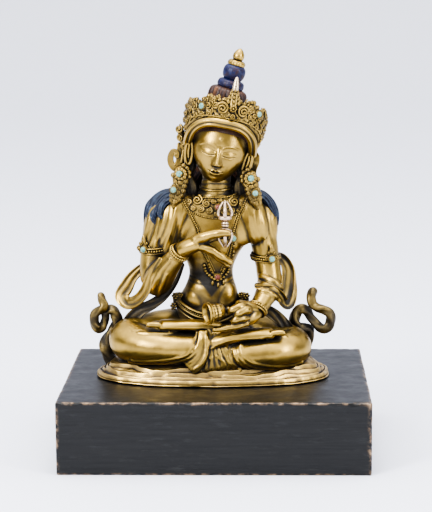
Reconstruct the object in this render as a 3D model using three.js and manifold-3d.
// Vajrasattva: a small gilt copper-alloy figure seated cross-legged on a low cushion, with a vajra held
// upright at the chest and a bell in the lap, standing on a black wooden block.
// Millimetres, +Z up, +Y to the figure's back. The origin is the middle of the block's underside.
import * as THREE from 'three';
import { mergeVertices } from 'three/addons/utils/BufferGeometryUtils.js';
import Module from 'manifold-3d';

// Driving sizes.
const BLOCK = { width: 180, depth: 139, height: 42.6, wear: 1.6 };
const GAP = 0.3; // room left between two pieces that only touch
const FLOOR = BLOCK.height + GAP; // underside of the cast figure
const CUSHION = { x: -2, y: -1, halfWidth: 69, halfDepth: 34, height: 11.4, rim: 3.8, ruffle: 1.1 };
const HEAD = {
  x: 2.8,
  y: -3,
  z: 179.3,
  lean: 11,
  bow: 7,
  halfWidth: 15.9,
  halfDepth: 15.5,
  halfHeight: 21.4,
  rise: 0.9,
};
const HAIR = { halfWidth: 17.6, halfDepth: 16.4, halfHeight: 20.5, z: 6, y: 3.4 };
const CHIGNON = { x: 5.9, y: 5, z: 204.7, lean: 16, height: 34.5 };
// Heights are above the middle of the head. `turn` is how far the middle leaf stands to the figure's left.
const CROWN = {
  halfWidth: 17.6,
  frontDepth: 13.4,
  backDepth: 17,
  wall: 1.5,
  lip: 4,
  turn: 7,
  crest: 31.6,
  back: 6,
  bulge: 4.8,
  bulgeAt: 18,
};
// The lower edge in front view: an arch with upright sides, over the face and down to the ears.
const ARCH = { half: 19.3, rise: 19.2, power: 2.7 };
const CABOCHON = { radius: 1.7, height: 1.5, sides: 6 };
const BELL = { mouth: 6.4, height: 11.5, wall: 0.9 };
const VAJRA = { length: 29, bud: 4, grip: 1.9 };

// Colours.
const paint = (name, colour, roughness, metalness) =>
  Object.assign(new THREE.MeshStandardMaterial({ color: colour, roughness, metalness }), { name });
const gilt = paint('gilt copper', 0xc9a35a, 0.32, 1);
const paleGilt = paint('pale gilt', 0xe0c49a, 0.35, 1);
const turquoise = paint('turquoise', 0x8fc4b6, 0.45, 0);
const coral = paint('coral', 0xa85a48, 0.45, 0);
const blackWood = paint('black wood', 0x2c2d2f, 0.6, 0);

const wasm = await Module();
wasm.setup();

// A closed three.js geometry as a solid, with its shared vertices merged.
function solid(geometry) {
  const bare = geometry.clone();
  bare.deleteAttribute('normal');
  bare.deleteAttribute('uv');
  const merged = mergeVertices(bare, 1e-4);
  const mesh = new wasm.Mesh({
    numProp: 3,
    vertProperties: new Float32Array(merged.attributes.position.array),
    triVerts: new Uint32Array(merged.index.array),
  });
  return new wasm.Manifold(mesh);
}

const fuse = (pieces) => pieces.reduce((whole, piece) => whole.add(piece));

function geometryOf(body) {
  const { vertProperties, triVerts } = body.getMesh();
  const geometry = new THREE.BufferGeometry();
  geometry.setAttribute('position', new THREE.BufferAttribute(new Float32Array(vertProperties), 3));
  geometry.setIndex(new THREE.BufferAttribute(new Uint32Array(triVerts), 1));
  return geometry;
}

const radians = THREE.MathUtils.degToRad;
const vector = (p) => new THREE.Vector3(p[0], p[1], p[2]);

// Moves every vertex of a geometry by a function of its place.
function reshape(geometry, move) {
  const place = geometry.attributes.position;
  const point = new THREE.Vector3();
  for (let i = 0; i < place.count; i++) {
    move(point.fromBufferAttribute(place, i));
    place.setXYZ(i, point.x, point.y, point.z);
  }
  return geometry;
}

// A smooth line through the first three numbers of each station.
function smooth(rows) {
  return new THREE.CatmullRomCurve3(rows.map(vector), false, 'centripetal');
}

// A limb: a cylinder whose rings are carried along a smooth line through stations [x, y, z, wide, thick].
// `thick` is its half size towards `facing`, `wide` square to that. Round ends close over their own size.
function limb(stations, { sides = 8, rings = 8, facing = [0, -1, 0], round = true } = {}) {
  const line = smooth(stations);
  const sizes = smooth(stations.map((s) => [s[3], s[4] ?? s[3], 0]));
  const length = line.getLength();
  const tube = new THREE.CylinderGeometry(1, 1, 1, sides, rings);
  return solid(
    reshape(tube, (p) => {
      const share = THREE.MathUtils.clamp(0.5 - p.y, 0, 1);
      const t = round ? (1 - Math.cos(Math.PI * share)) / 2 : share;
      const centre = line.getPoint(t);
      const size = sizes.getPoint(t);
      const along = line.getTangent(t);
      const wide = new THREE.Vector3().crossVectors(along, vector(facing)).normalize();
      const thick = new THREE.Vector3().crossVectors(along, wide);
      const end = Math.min(1, (Math.min(t, 1 - t) * length) / Math.min(size.x, size.y));
      const close = round ? Math.sqrt(Math.max(0, 1 - (1 - end) ** 2)) : 1;
      const [aside, out] = [p.x * size.x * close, p.z * size.y * close];
      p.copy(centre).addScaledVector(wide, aside).addScaledVector(thick, out);
    }),
  );
}

// An ellipsoid with its own half sizes, at a place.
function ball(at, [x, y, z], across = 12, down = 8) {
  const sphere = new THREE.SphereGeometry(1, across, down).rotateX(Math.PI / 2);
  return solid(sphere.scale(x, y, z).translate(...at));
}

// A turned form about +Z from [radius, height] pairs that start and end on the axis.
function turned(profile, sides = 12) {
  const points = profile.map(([r, z]) => new THREE.Vector2(r, z));
  return new THREE.LatheGeometry(points, sides).rotateX(Math.PI / 2);
}

// Stands a geometry made about +Z so that +Z points along `way`, with its origin at `at`.
function aim(geometry, at, way) {
  const turn = new THREE.Quaternion().setFromUnitVectors(new THREE.Vector3(0, 0, 1), vector(way).normalize());
  return geometry.applyQuaternion(turn).translate(...at);
}

// A round plate whose axis points along `way`, with its middle at `at`.
function plate(at, way, radius, thick, sides) {
  return solid(aim(new THREE.CylinderGeometry(radius, radius, thick, sides).rotateX(Math.PI / 2), at, way));
}

// The head's own frame: leaning to the figure's left and bowed forward, about the middle of the head.
const headTurn = new THREE.Matrix4()
  .makeTranslation(HEAD.x, HEAD.y, HEAD.z)
  .multiply(new THREE.Matrix4().makeRotationY(radians(HEAD.lean)))
  .multiply(new THREE.Matrix4().makeRotationX(radians(HEAD.bow)));
const onHead = (geometry) => geometry.applyMatrix4(headTurn);
const headPoint = (p) => vector(p).applyMatrix4(headTurn).toArray();
const headWay = (p) => vector(p).transformDirection(headTurn).toArray();

// The black block, with its upper edges and corners worn.
function block() {
  const { width, depth, height, wear } = BLOCK;
  const box = new THREE.BoxGeometry(width, depth, height, 4, 3, 1).translate(0, 0, height / 2);
  return geometryOf(
    solid(
      reshape(box, (p) => {
        const edges = [Math.abs(p.x) > width / 2 - 1, Math.abs(p.y) > depth / 2 - 1, p.z > height - 1];
        const worn = edges.filter(Boolean).length > 1 && p.z > 1 ? wear : 0;
        const bite = worn * (0.35 + 0.3 * Math.sin(p.x * 0.31 + p.y * 0.23 + p.z));
        if (edges[0] && worn) p.x -= Math.sign(p.x) * bite * (edges[2] ? 0.5 : 1);
        if (edges[1] && worn) p.y -= Math.sign(p.y) * bite * 0.5;
      }),
    ),
  );
}

// The low cushion with the cloth that spreads over it.
function cushion() {
  const { x, y, halfWidth, halfDepth, height, rim, ruffle } = CUSHION;
  // Reach and height of each row, from the underside up over the rolled rim to the foot of the legs.
  const rows = [[0.985, 0], [1.003, 1.6], [0.965, rim], [0.89, 7], [0.74, height]];
  const disc = new THREE.CylinderGeometry(1, 1, 1, 32, rows.length - 1);
  return solid(
    reshape(disc, (p) => {
      const row = Math.round((p.y + 0.5) * (rows.length - 1));
      const [reach, level] = rows[row];
      const angle = Math.atan2(p.z, p.x);
      const onAxis = Math.hypot(p.x, p.z) < 0.5;
      const wave = row > 1 && row < 4 ? ruffle * Math.sin(angle * 8) : 0;
      const square = 1 / (Math.abs(Math.cos(angle)) ** 2.3 + Math.abs(Math.sin(angle)) ** 2.3) ** (1 / 2.3);
      const out = onAxis ? 0 : square;
      p.set(
        x + Math.cos(angle) * out * (halfWidth * reach + wave),
        y - Math.sin(angle) * out * (halfDepth * reach + wave),
        FLOOR + level,
      );
    }),
  );
}

// Legs, each from the hip round the knee to the ankle, and the feet.
const UP = [0, -0.25, 1];
const LEG = {
  right: [
    [-15, 10, 70, 14, 12], [-34, 2, 68.6, 13.4, 12.4], [-51, -9, 66, 13, 12.4], [-42, -20, 65, 11, 10.5],
    [-24, -24.6, 64.5, 10, 8.6], [-6, -24, 64, 8.6, 8],
  ],
  left: [
    [9, 10, 69, 14, 12], [29, 2, 66, 13, 11.4], [45.2, -8, 61.8, 11.8, 11], [39, -19, 61, 10, 10.4],
    [22, -24.6, 60.5, 9, 8.6], [7, -24, 61, 8, 8],
  ],
  rightFoot: [
    [-5, -26, 66, 4.2, 4.4], [4, -29, 70, 4.2, 3.8], [14, -28.4, 72.6, 4.4, 3.4], [25, -26.4, 73.4, 5, 3],
    [36, -24, 73.2, 5.4, 2.4],
  ],
  leftFoot: [
    [5, -21, 74.6, 4.4, 4], [-8, -23, 77.4, 4.2, 3.4], [-22, -23.4, 78, 4.8, 3], [-35, -22.4, 77.8, 5.4, 2.4],
  ],
};

function legs() {
  const toes = (at) => ball(at, [4, 5.2, 1.8], 5, 4);
  return fuse([
    limb(LEG.right, { sides: 9, rings: 6, facing: UP }),
    limb(LEG.left, { sides: 9, rings: 6, facing: UP }),
    ball([-3, -2, 67], [28, 25, 11], 8, 4),
    limb(LEG.rightFoot, { sides: 5, rings: 4, facing: UP }),
    limb(LEG.leftFoot, { sides: 5, rings: 4, facing: UP }),
    toes([37.8, -24.6, 73.8]),
    toes([-36.8, -22.8, 78.4]),
    ...lapFolds(),
  ]);
}

// The cloth between the shins: a broad fall over the front of the cushion, a leaf of it in front of the right
// shin, and two folds that sweep from the lap round the end of each shin.
function lapFolds() {
  const fold = (points) => limb(points.map((p) => [...p, 1.5]), { sides: 3, rings: 5 });
  const fall = (stations) => limb(stations, { sides: 6, rings: 4 });
  return [
    fall([[0, -25, 75, 6, 4], [0, -28, 66, 9, 4], [1, -29.6, 57, 14, 4.4], [2, -30, 51, 18, 3]]),
    fall([
      [-6.4, -30, 75, 2.6, 1.5], [-7, -32.4, 67, 4, 1.5], [-10, -33, 60, 5.6, 1.5],
      [-15.8, -32, 53.6, 5, 1.2],
    ]),
    fold([[-9, -30.4, 75.5], [-11, -32.6, 67.6], [-15.4, -34, 61.6], [-24, -34, 58.4], [-42, -29, 56.4]]),
    fold([[13.6, -29.6, 68.6], [14.6, -32, 62.6], [19, -33, 57.8], [28, -32.6, 55], [43, -26.6, 53.6]]),
  ];
}

// Body from the lap to the neck, with the belt and its knots at the hips.
function torso() {
  const trunk = [
    [-3.3, 4, 66, 22, 15], [-3.8, 3, 86, 19, 13], [-3.2, 1, 95, 15.8, 11.8], [-3, 2.5, 105, 13, 9.8],
    [-3, 2, 115, 16, 11], [-2.8, 1, 124, 21.4, 12.4], [-2, 1.5, 133, 28, 12], [-0.6, 2, 142.6, 30, 11],
    [0.4, 2, 149, 21, 9.6], [0.2, 2, 153, 10.8, 9.4], [0.4, 1, 158, 9, 8.6], [1.6, 0, 169, 8.6, 8.6],
  ];
  const belt = [];
  for (let i = 0; i < 7; i++) {
    const swing = radians(-99 + 33 * i);
    const [aside, ahead] = [Math.sin(swing), Math.cos(swing)];
    belt.push([-3.5 + 20.6 * aside, 3 - 16 * ahead, 80.5 + 9 * aside ** 2, 3, 1.8]);
  }
  // The cloth that comes over both shoulders and down in front of the armpits.
  const shawl = (stations) => limb(stations, { sides: 6, rings: 4 });
  return fuse([
    limb(trunk, { sides: 10, rings: 10, round: false }),
    limb(belt, { sides: 4, rings: 7, facing: UP }),
    ball([-11.6, -4.2, 133], [15.5, 5.2, 12], 7, 4),
    ball([10.6, -4.2, 132.6], [15, 5.2, 12], 7, 4),
    ball([-10.2, -2.2, 90], [10.2, 8, 10.4], 6, 4),
    ball([5.6, -2.4, 92], [10, 8.2, 11.4], 6, 4),
    shawl([
      [-10, 1.4, 148, 4, 5], [-19, -1.6, 145, 8.4, 7.4], [-25, -2, 135, 9.6, 8.2], [-29, -0.5, 117, 7, 6.5],
    ]),
    shawl([
      [11, 1.4, 148, 4, 5], [18.6, -1.6, 145, 8.2, 7.4], [22.8, -2, 135, 9.4, 8.2], [25, -1, 122, 7, 7],
    ]),
    ball([-22.6, 0, 88], [3.4, 3.4, 4.4], 5, 3),
    ball([16.4, 0, 88], [3.4, 3.4, 4.4], 5, 3),
  ]);
}

const ARM = {
  rightUpper: [
    [-24, 3, 142, 8.6], [-32.4, 3, 138.6, 8.8], [-35.4, 2, 124, 8.8], [-37.4, 0, 110, 8], [-36.6, -4, 95, 8],
  ],
  rightFore: [
    [-38.4, 1, 95, 8.6], [-32.4, -9, 104.6, 8.6], [-26.6, -15, 112.4, 6.6], [-17.6, -21.4, 123.4, 3.8],
  ],
  leftUpper: [
    [20, 3, 142, 8.6], [27.4, 3, 138, 8.8], [28.6, 2, 124, 8], [31, 0, 110, 7.4], [32.8, -5, 94, 7.2],
  ],
  leftFore: [[34, 0, 100, 7.2], [30.4, -11, 94.6, 6.8], [26, -20, 88.6, 5.4], [22, -26, 84, 4.6]],
};

function arms() {
  const finger = (points) => limb(points, { sides: 4, rings: 3, facing: UP });
  const palm = (points) => limb(points, { sides: 6, rings: 3, facing: UP });
  const band = (at, way, radius) => plate(at, way, radius, 3, 8);
  return fuse([
    ...Object.values(ARM).map((stations) => limb(stations, { sides: 7, rings: 4, facing: [1, 0.2, 0] })),
    palm([[-24, -17.6, 117.6, 4.4, 4.6], [-16.6, -22, 123.6, 5, 4.8], [-7, -25, 127.4, 4.8, 4.2]]),
    finger([[-13, -24.6, 127.6, 3.3], [-4, -28, 131.6, 3], [4, -30.6, 133.6, 2.5], [10, -31.2, 133.4, 1.8]]),
    finger([[-10, -23.5, 126.6, 2.8], [0, -23.4, 130, 2.4], [5.6, -22.6, 130.8, 2.1], [8.8, -23, 129, 1.7]]),
    finger([
      [-10, -25, 125.4, 2.8], [-3, -26.4, 123.6, 2.5], [3.4, -25.8, 119.4, 2.3], [10.6, -22.6, 114.2, 1.8],
    ]),
    finger([[-14, -23.4, 125, 2.6], [-3, -22.6, 121.6, 2.2], [3, -21.4, 116.8, 2], [8.4, -19, 111.8, 1.5]]),
    palm([[25, -21, 87, 4.8, 4.6], [21, -28, 84, 4.8, 4.8], [12, -30, 81.4, 5, 4]]),
    palm([[24, -24, 86.6, 4.8, 4.2], [19, -30, 90, 3.6, 3.4], [12.4, -34, 93.2, 2.2, 2]]),
    finger([[20, -32, 81.4, 2.8, 2.2], [12, -34.8, 79.6, 2.6, 2], [-1.4, -34.8, 77.6, 1.8, 1.6]]),
    finger([
      [20.6, -30, 87.6, 2.6], [18, -36.4, 89.4, 2.6], [13.4, -37.6, 87.4, 2.1], [12.4, -34.6, 84.8, 1.8],
    ]),
    finger([[18.6, -31, 91, 2.4], [14, -36.8, 91.2, 2.5], [9.6, -37, 89.2, 2], [8.8, -34, 86.6, 1.7]]),
    finger([
      [19.6, -32, 84.2, 2.2], [15.6, -36.6, 84.4, 2.2], [11.4, -37.2, 83.4, 2], [10.2, -34.6, 82, 1.6],
    ]),
    band([-21, -19.4, 120.2], [0.72, -0.55, 0.95], 5.4),
    band([24.2, -23, 87.2], [-0.35, -0.75, -0.75], 6),
    band([-36.4, 1, 119.6], [-0.05, -0.08, 1], 9.6),
    band([29.6, 1, 114.6], [0.05, -0.1, 1], 8.8),
  ]);
}

// The long scarf: over both forearms, round the knees and up into a looped end on each side.
const SCARF = {
  rightBillow: [
    [-37, 7, 110, 2.2, 1.3], [-42.6, 7, 107.6, 2.8, 1.4], [-50.2, 5, 101.6, 3.4, 1.5],
    [-56.4, -2, 90.8, 4.2, 1.7], [-52.6, -6, 87.5, 3.8, 1.6], [-46.6, -10, 90.2, 3.4, 1.5],
    [-42, -12.6, 95.8, 3.2, 1.5], [-36, -16.6, 109.4, 2.6, 1.4], [-31, -18.6, 116.6, 2, 1.2],
  ],
  leftBillow: [
    [34, 5, 115, 2, 1.3], [39.6, 5.6, 112.6, 2.8, 1.4], [43, 3, 106.8, 3.8, 1.7], [43.9, -3, 91.6, 4.6, 1.8],
    [43, -7, 87.4, 3.8, 1.7], [40.6, -10.4, 88.8, 3, 1.6], [34.4, -16.4, 97.4, 2.4, 1.4],
    [23, -16, 100, 1.6, 1.2],
  ],
  rightBand: [
    [-19.6, -1, 111, 1.4, 1.2], [-24.6, -3, 99.8, 2.2, 1.4], [-30.9, -5, 92, 2.8, 1.5],
    [-38.1, -7, 86.9, 3.3, 1.6], [-50, -7, 78.6, 4, 1.6], [-54, -3, 71, 4.2, 1.7], [-60, 3, 58, 4, 2],
  ],
  leftBand: [
    [22, -6, 86, 2, 1.3], [28.4, -7, 84.2, 3.2, 1.4], [35, -8, 80.6, 3.6, 1.5], [41, -8, 75, 3.4, 1.6],
    [49, 1, 60, 3, 1.8],
  ],
};
// Each looped end, from the cushion up: stem, inner loop, down across the middle, outer loop, and the tip.
const KNOT = {
  right: [
    [-61.4, 4, 46.4, 4.4], [-66.4, 4, 58.6, 4.9], [-63.6, 3, 66.8, 3.6], [-59.9, 2, 74, 3.4],
    [-60.8, 1.4, 80.2, 3.3], [-64.6, 1.8, 81.8, 2.8], [-67.2, 2.4, 76, 2.5], [-69.4, 1, 70.8, 2.8],
    [-73.2, 0, 72.6, 2.9], [-73, -0.4, 79, 2.9], [-67.4, -1.6, 84, 2.6], [-70.2, 0, 92.8, 1.9],
  ],
  left: [
    [52.8, 4, 48.6, 3.2], [54.6, 4, 61, 3.2], [55.8, 3.6, 68.6, 3.2], [50, 3, 70.6, 3.3],
    [47.4, 3, 74, 3.4], [47.6, 3, 79, 3.4], [51.5, 2.6, 82.1, 3.2], [56.2, 2.2, 78.4, 2.7],
    [61.4, 1.2, 71.2, 2.7], [66, 0.8, 70.4, 3], [68.8, 0, 75.4, 3.1], [66.8, -0.8, 81.2, 3],
    [60.4, -1.6, 83.4, 2.8], [57.4, -1.2, 87.6, 2.9], [58.9, 0, 96, 2.6],
  ],
};

function scarf() {
  const knot = (stations) => limb(stations, { sides: 5, rings: 18 });
  const band = (stations, rings) => limb(stations, { sides: 5, rings, facing: [0, -1, 0.2] });
  return fuse([
    band(SCARF.rightBillow, 11),
    band(SCARF.leftBillow, 10),
    band(SCARF.rightBand, 7),
    band(SCARF.leftBand, 5),
    knot(KNOT.right),
    knot(KNOT.left),
  ]);
}

// The hair close over the skull. `grow` swells it, for the cut of the crown's seat.
function hairCap(grow = 0) {
  const { halfWidth, halfDepth, halfHeight, y, z } = HAIR;
  const cap = new THREE.SphereGeometry(1, 11, 6).rotateX(Math.PI / 2);
  cap.scale(halfWidth + grow, halfDepth + grow, halfHeight + grow).translate(0, y, z);
  return solid(onHead(cap));
}

function head() {
  const { halfWidth, halfDepth, halfHeight } = HEAD;
  const skull = new THREE.SphereGeometry(1, 12, 8).rotateX(Math.PI / 2);
  reshape(skull, (p) => {
    const front = THREE.MathUtils.smoothstep(-p.y, 0.1, 0.9);
    const jaw = THREE.MathUtils.smoothstep(-p.z, 0.1, 1);
    p.x *= halfWidth * (1 - 0.2 * jaw);
    p.y *= halfDepth * (1 - 0.06 * front);
    p.z = p.z * halfHeight + HEAD.rise;
    p.y -= 1.4 * jaw * front;
  });
  const onFace = (stations, sides, rings) =>
    limb(stations.map((s) => [...headPoint(s), ...s.slice(3)]), { sides, rings });
  const nose = onFace([[0, -13.6, 2, 1.1], [0, -15.4, -2, 1.5], [0, -16.4, -5.4, 2]], 5, 3);
  const lips = onFace([[-4.2, -12.4, -9.6, 0.9], [0, -13.8, -10.2, 1.8], [4.2, -12.4, -9.6, 0.9]], 4, 3);
  const brow = (side) =>
    onFace([[side * 1.8, -14, 3, 0.8], [side * 6.5, -13.4, 4.8, 0.9], [side * 11.4, -10, 3, 0.7]], 3, 3);
  const pair = (rows, sides, rings) =>
    [-1, 1].map((side) => onFace(rows.map(([x, ...rest]) => [side * x, ...rest]), sides, rings));
  const lobes = pair([[17.8, -1, 4.6, 2.4, 3], [17.5, -1.6, -4, 2.8, 3], [17, -1.6, -12.6, 2.2, 2]], 5, 3);
  const sidelocks = pair([
    [16.6, 4, 8, 4.4, 3], [16, 3, 0, 4.8, 3], [15.2, 3.4, -7, 4.6, 3], [13.8, 5, -13, 3.6, 3],
  ], 5, 3);
  return fuse([solid(onHead(skull)), hairCap(), nose, lips, brow(-1), brow(1), ...lobes, ...sidelocks]);
}

// The tall knot of hair, tier on tier, with its collar and jewel.
function chignon() {
  const { x, y, z, lean, height } = CHIGNON;
  const share = height / 32.5;
  const profile = [
    [0, -6], [9.4, -6], [10.6, 4.5], [10.2, 8], [7.4, 10.5], [7.2, 13.6], [5.6, 15.2], [6.4, 18.2], [6, 21],
    [4.2, 23], [4.7, 24.2], [4.4, 25.4], [2.4, 25.8], [3.3, 28], [2.5, 30.4], [0, 32.5],
  ].map(([r, h]) => [r, h * share]);
  return solid(aim(turned(profile, 8), [x, y, z], [Math.sin(radians(lean)), 0, Math.cos(radians(lean))]));
}

// Painted locks that fall over each shoulder, and the hair that spreads from the nape over the upper back.
function locks() {
  const lock = (points) => limb(points, { sides: 6, rings: 4, facing: UP });
  const nape = (side) =>
    limb(
      [
        [1.4 + side * 6, 10, 178, 5.4, 2.6], [1 + side * 7, 11, 168, 6, 2.6],
        [0.6 + side * 9.4, 11.6, 157, 8, 2.4], [0.4 + side * 14, 11.6, 149.5, 10.4, 2.2],
        [0.4 + side * 17, 11, 142, 10.4, 1.8],
      ],
      { sides: 5, rings: 4 },
    );
  return fuse([
    lock([
      [-18, 3, 151.6, 4.4, 3], [-29, 2.4, 150, 6, 3.4], [-36.6, 0.6, 145, 6.4, 3],
      [-38.8, -0.8, 134, 3.6, 1.6],
    ]),
    lock([
      [17, 5, 150.4, 3.6, 3.4], [26.6, 4.2, 150, 4.4, 4], [32.4, 2.4, 146.2, 4.4, 3.4],
      [36.4, 0.6, 134, 1.8, 1.2],
    ]),
    nape(-1),
    nape(1),
  ]);
}

// Each ear ornament: the disc at the lobe, the tail that hangs from it to the shoulder, the curls that climb
// the side of the crown, and the ribbon that turns up beside them.
const EAR = {
  right: {
    disc: [-19.9, -7, 165.2],
    tail: [
      [-19.7, -7, 164, 4.4, 2.6], [-21.2, -8, 156.9, 4.4, 2.8], [-23, -8, 151, 3.8, 2.8],
      [-24, -7, 146, 1.8, 2],
    ],
    curls: [
      [-21.4, -1, 192.4, 2.2, 1.6], [-20.4, -1.4, 186, 2.2, 1.6], [-19.4, -2, 179, 1.8, 1.6],
      [-19.9, -7, 165.2, 2],
    ],
    ribbon: [
      [-19.2, -1.6, 181.6, 1.8, 1.4], [-21.4, -2, 171, 1.7, 1.1], [-23.7, -2, 168.1, 1.6, 1.1],
      [-26.3, -2, 174.6, 1.4, 1.1], [-24.5, -2, 177.9, 1.2, 1.1], [-22.9, -3, 174, 1, 1],
    ],
  },
  left: {
    disc: [20.6, -7, 162.6],
    tail: [
      [20.6, -7, 161.4, 4.4, 2.6], [22.4, -8, 154.6, 4.4, 2.8], [23.5, -8, 150, 3.8, 2.8],
      [24.6, -7, 145.2, 1.8, 2],
    ],
    curls: [[22.8, -1, 175.6, 1.6, 1.6], [21.8, -2.4, 170.6, 1.8, 1.6], [20.6, -7, 162.6, 2]],
    ribbon: [
      [21.4, -0.6, 163, 1.8, 1.1], [24.1, -2, 171.6, 1.6, 1.1], [24.2, -1, 174.8, 1.5, 1.1],
      [21.5, 0.6, 174, 1.1, 1.1],
    ],
  },
};
function earOrnament({ disc, tail, curls, ribbon }, side) {
  return fuse([
    limb(tail, { sides: 5, rings: 4 }),
    limb(curls, { sides: 5, rings: 3 }),
    limb(ribbon, { sides: 4, rings: ribbon.length + 2 }),
    plate(disc, [side * 0.25, -1, 0], 4.2, 2.8, 8),
  ]);
}

// Necklace ring, two bead strings and the bib of scrolls.
function jewels() {
  const collar = [];
  for (let i = 0; i < 7; i++) {
    const swing = radians(-99 + 33 * i);
    const [aside, ahead] = [Math.sin(swing), Math.cos(swing)];
    collar.push([0.2 + 13 * aside, 1.5 - 10.8 * ahead, 154 - 2.8 * ahead, 2.6, 1.2]);
  }
  const string = (points) => limb(points.map((p) => [...p, 1.2]), { sides: 3, rings: 6 });
  const scroll = (at, radius) => plate(at, [at[0] * 0.02, -1, 0.5], radius, 2, 5);
  return fuse([
    limb(collar, { sides: 4, rings: 7, facing: [0, -0.6, 1] }),
    string([[-20, -5.4, 152], [-17, -8.4, 146], [-10.4, -9.9, 133], [-7, -9.8, 120], [-1.2, -7.6, 105.4]]),
    string([[19, -5.4, 151], [16.4, -8.4, 145], [11.2, -9.8, 132], [8.6, -9.6, 119], [3.6, -7.6, 105.4]]),
    scroll([-10.4, -7, 149], 3),
    scroll([11, -7, 148], 3),
    scroll([-4.4, -9, 145], 3),
    scroll([6.4, -9, 144.6], 3),
    scroll([1, -9.6, 141.4], 2.2),
  ]);
}

// Leaves of the crown: the direction round the head that each stands in, its height and its width there.
const LEAVES = [
  { at: 0, height: 2, width: 20 },
  { at: 40, height: 3.2, width: 14 },
  { at: -42, height: 3.2, width: 14 },
  { at: 68, height: 2.4, width: 12 },
  { at: -68, height: 2.4, width: 12 },
  { at: 94, height: 2.5, width: 12 },
  { at: -94, height: 2.5, width: 12 },
];

// Heights of the crown's lower and upper edge in a direction round the head, 0 at the middle leaf.
function crownEdges(degrees) {
  const { lerp, smoothstep } = THREE.MathUtils;
  const swing = Math.abs(degrees + CROWN.turn);
  const aside = (CROWN.halfWidth + 1.8) * Math.sin(radians(Math.min(swing, 90)));
  const inside = Math.max(0, 1 - (aside / ARCH.half) ** ARCH.power);
  const bottom = lerp(ARCH.rise * inside ** (1 / ARCH.power), CROWN.back, smoothstep(swing, 104, 150));
  const away = Math.abs(degrees);
  const crest = CROWN.crest - 6 * smoothstep(away, 18, 75) - 4 * smoothstep(away, 75, 110);
  let top = lerp(crest, CROWN.back + 7, smoothstep(away, 100, 150));
  for (const leaf of LEAVES) {
    const off = Math.abs(degrees - leaf.at) / leaf.width;
    if (off < 1) top += leaf.height * (1 - off ** 1.5);
  }
  return [bottom, top];
}

// A place on the crown's inner face, in the head's frame: direction, height, and how far out from the face.
function crownPlace(degrees, z, out) {
  const { halfWidth, frontDepth, backDepth, bulge, bulgeAt } = CROWN;
  const swell = out + bulge * Math.max(0, 1 - ((z - bulgeAt) / 17) ** 2);
  const swing = radians(degrees + CROWN.turn);
  const depth = Math.cos(swing) > 0 ? frontDepth : backDepth;
  return [(halfWidth + swell) * Math.sin(swing), HAIR.y - (depth + swell) * Math.cos(swing), z];
}

function crownSeat(degrees, z, out) {
  const swing = radians(degrees + CROWN.turn);
  return {
    at: headPoint(crownPlace(degrees, z, out)),
    way: headWay([Math.sin(swing), -Math.cos(swing), 0.1]),
  };
}

function crown() {
  const { wall, lip } = CROWN;
  // The wall's section, [share of the height, out from the inner face], with a rolled border below and a lip
  // inside that is cut to sit on the hair.
  const rows = [
    [0, -lip], [0, wall * 1.8], [0.2, wall * 1.8], [0.24, wall], [1, wall * 0.8], [1, 0], [0.2, 0],
    [0.14, -lip], [0, -lip],
  ];
  const band = new THREE.LatheGeometry(rows.map(([share, out]) => new THREE.Vector2(1 + out, share)), 36);
  const place = band.attributes.position;
  for (let i = 0; i < place.count; i++) {
    const [share, out] = rows[i % rows.length];
    const degrees = 10 * Math.floor(i / rows.length) - 180;
    const [bottom, top] = crownEdges(degrees);
    place.setXYZ(i, ...crownPlace(degrees, bottom + share * (top - bottom), out));
  }
  const spire = [
    [27, 1.8, 3.6, 1.8], [33, 1.4, 3.6, 1.8], [38.6, 0.7, 2.2, 1.6], [43, -0.2, 1.6, 1.5],
    [46, -1.4, 0.8, 0.8],
  ];
  const scroll = (degrees, z, radius) => {
    const { at, way } = crownSeat(degrees, z, 1.4);
    return plate(at, way, radius, 1.6, 6);
  };
  const stones = [STONES.turquoise_crown_right, STONES.turquoise_crown_left];
  const whole = fuse([
    solid(onHead(band)),
    limb(
      spire.map(([z, out, wide, thick]) => [...headPoint(crownPlace(1, z, out)), wide, thick]),
      { sides: 6, rings: 6 },
    ),
    scroll(-13.5, 27.6, 3.7),
    scroll(17.5, 27.4, 3.6),
    ...stones.map(boss),
  ]);
  return whole.subtract(hairCap(GAP));
}

// Each stone's place is where it meets the metal, and `way` points out of it.
const STONES = {
  turquoise_crown_right: crownSeat(-46, 26, 1.8),
  turquoise_crown_left: crownSeat(46, 26.6, 1.8),
  turquoise_ear_disc_right: { at: [-20.7, -8.4, 165.6], way: [-0.25, -1, 0], size: 1.25 },
  turquoise_ear_disc_left: { at: [21.1, -8.4, 162.8], way: [0.25, -1, 0], size: 1.25 },
  turquoise_ear_drop_right: { at: [-24.2, -10.6, 156.2], way: [-0.2, -1, 0.1] },
  turquoise_ear_drop_left: { at: [23.6, -10.6, 154], way: [0.2, -1, 0.1] },
  turquoise_armband_right: { at: [-42.6, -6.6, 120], way: [-0.6, -1, 0] },
  turquoise_armband_left: { at: [33.4, -8, 114.4], way: [0.25, -1, 0] },
  turquoise_necklace: { at: [10.6, -13, 127.6], way: [0.3, -1, 0] },
  coral_collar: { at: [1.9, -9.9, 145.6], way: [0, -1, 0.35] },
  coral_pendant: { at: [1.2, -8.6, 103.6], way: [0, -1, 0] },
};

// The boss: a short stud of metal with a flat top that the stone sits on.
function boss({ at, way, size = 1 }) {
  const r = (CABOCHON.radius + 0.7) * size;
  const stud = new THREE.CylinderGeometry(r, r * 1.1, 3, 5).rotateX(Math.PI / 2).translate(0, 0, -1.5);
  return solid(aim(stud, at, way));
}

function cabochon({ at, way, size = 1 }) {
  const r = CABOCHON.radius * size;
  const h = CABOCHON.height * size;
  const profile = [[0, GAP], [r, GAP], [r, GAP + h * 0.35], [r * 0.72, GAP + h * 0.8], [0, GAP + h]];
  return geometryOf(solid(aim(turned(profile, CABOCHON.sides), at, way)));
}

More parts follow.
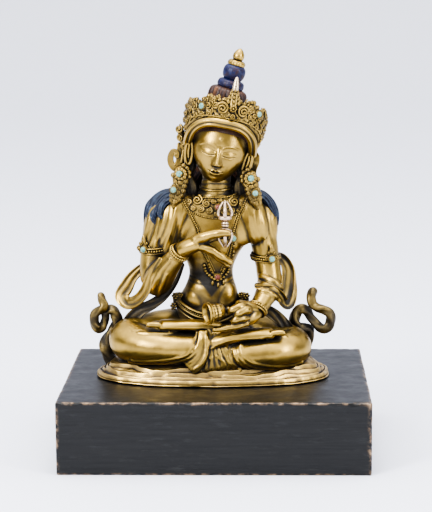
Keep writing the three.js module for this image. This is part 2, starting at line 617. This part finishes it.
const BELL_AT = [-4.6, -38.4, 87.6];
const BELL_WAY = [0.9, 0.42, 0.08];
// The bell lies on its side with its mouth to the figure's right. `grow` swells it for a cut of its room.
function bell(grow = 0) {
  const { mouth, height, wall } = BELL;
  const outer = [
    [mouth, 0], [mouth * 0.98, 1], [mouth * 0.86, 3], [mouth * 0.78, 7.4], [mouth * 0.6, height - 1.2],
    [1.9, height],
  ];
  const handle = [[1.7, height + 1.6], [2.1, height + 2.6], [1.5, height + 4], [0, height + 5]];
  const inner = outer.slice(0, 5).map(([r, z]) => [r - wall, z]).reverse();
  const swollen = [...outer, ...handle.slice(0, 3)].map(([r, z]) => [r + grow, z]);
  const profile = grow
    ? [[0, -4], [mouth + grow, -4], ...swollen, [0, height + 5 + grow]]
    : [[0, height - 1.2 - wall], ...inner, ...outer, ...handle];
  return solid(aim(turned(profile, 10), BELL_AT, BELL_WAY));
}

const VAJRA_AT = [6.3, -27, 138.2];
// A vajra on end: from the middle out, a knob, a lotus, a collar and a bud of four prongs round a core.
// `grow` swells it into a plain form, for the cut of its room.
function vajra(grow = 0) {
  const { length, bud, grip } = VAJRA;
  const half = length / 2;
  const end = [
    [grip, 0], [grip * 0.8, 1.4], [bud * 0.95, 3.2], [bud * 0.95, 4.4], [0.9, 4.8], [0.8, half - 3],
    [0, half],
  ];
  const hull = [[bud * 1.1, 0], [bud * 1.2, 7], [bud * 1.05, half - 4], [0, half]];
  const side = grow ? hull.map(([r, z]) => [r && r + grow, z + grow]) : end;
  const upper = turned([[0, 0], ...side], 8);
  const lower = upper.clone().rotateX(Math.PI);
  const prong = ([c, s]) => {
    const path = [[bud * 0.6, 3.8], [bud * 0.92, 6], [bud * 0.8, 9.4], [0.9, half - 0.8]];
    return limb(path.map(([r, z]) => [r * c, r * s, z, 0.8]), { sides: 3, rings: 3, facing: [c, s, 0] });
  };
  const prongs = grow ? [] : [[1, 0], [0, 1], [-1, 0], [0, -1]].map(prong);
  const mirrored = prongs.map((piece) => piece.rotate([180, 0, 0]));
  return fuse([solid(upper), solid(lower), ...prongs, ...mirrored]).translate(VAJRA_AT);
}

// The cast figure as one solid, with room for the bell and the vajra.
function figure() {
  const bossed = Object.entries(STONES).filter(([name]) => /armband|necklace|coral|drop/.test(name));
  const cast = fuse([
    cushion(), legs(), torso(), arms(), scarf(), head(), chignon(), locks(), jewels(),
    earOrnament(EAR.right, -1), earOrnament(EAR.left, 1), ...bossed.map(([, stone]) => boss(stone)),
  ]);
  const cut = [bell(GAP), vajra(GAP)].reduce((left, piece) => left.subtract(piece), cast);
  return cut;
}

const group = new THREE.Group();
group.name = 'vajrasattva_statue';
function add(name, geometry, material) {
  const mesh = new THREE.Mesh(geometry, material);
  mesh.name = name;
  group.add(mesh);
}

const crownSolid = crown();
add('wooden_block', block(), blackWood);
add('seated_figure', geometryOf(figure().subtract(crownSolid)), gilt);
add('crown', geometryOf(crownSolid), gilt);
add('bell', geometryOf(bell()), gilt);
add('vajra', geometryOf(vajra()), paleGilt);
for (const [name, stone] of Object.entries(STONES)) {
  add(name, cabochon(stone), name.startsWith('coral') ? coral : turquoise);
}

export default group;
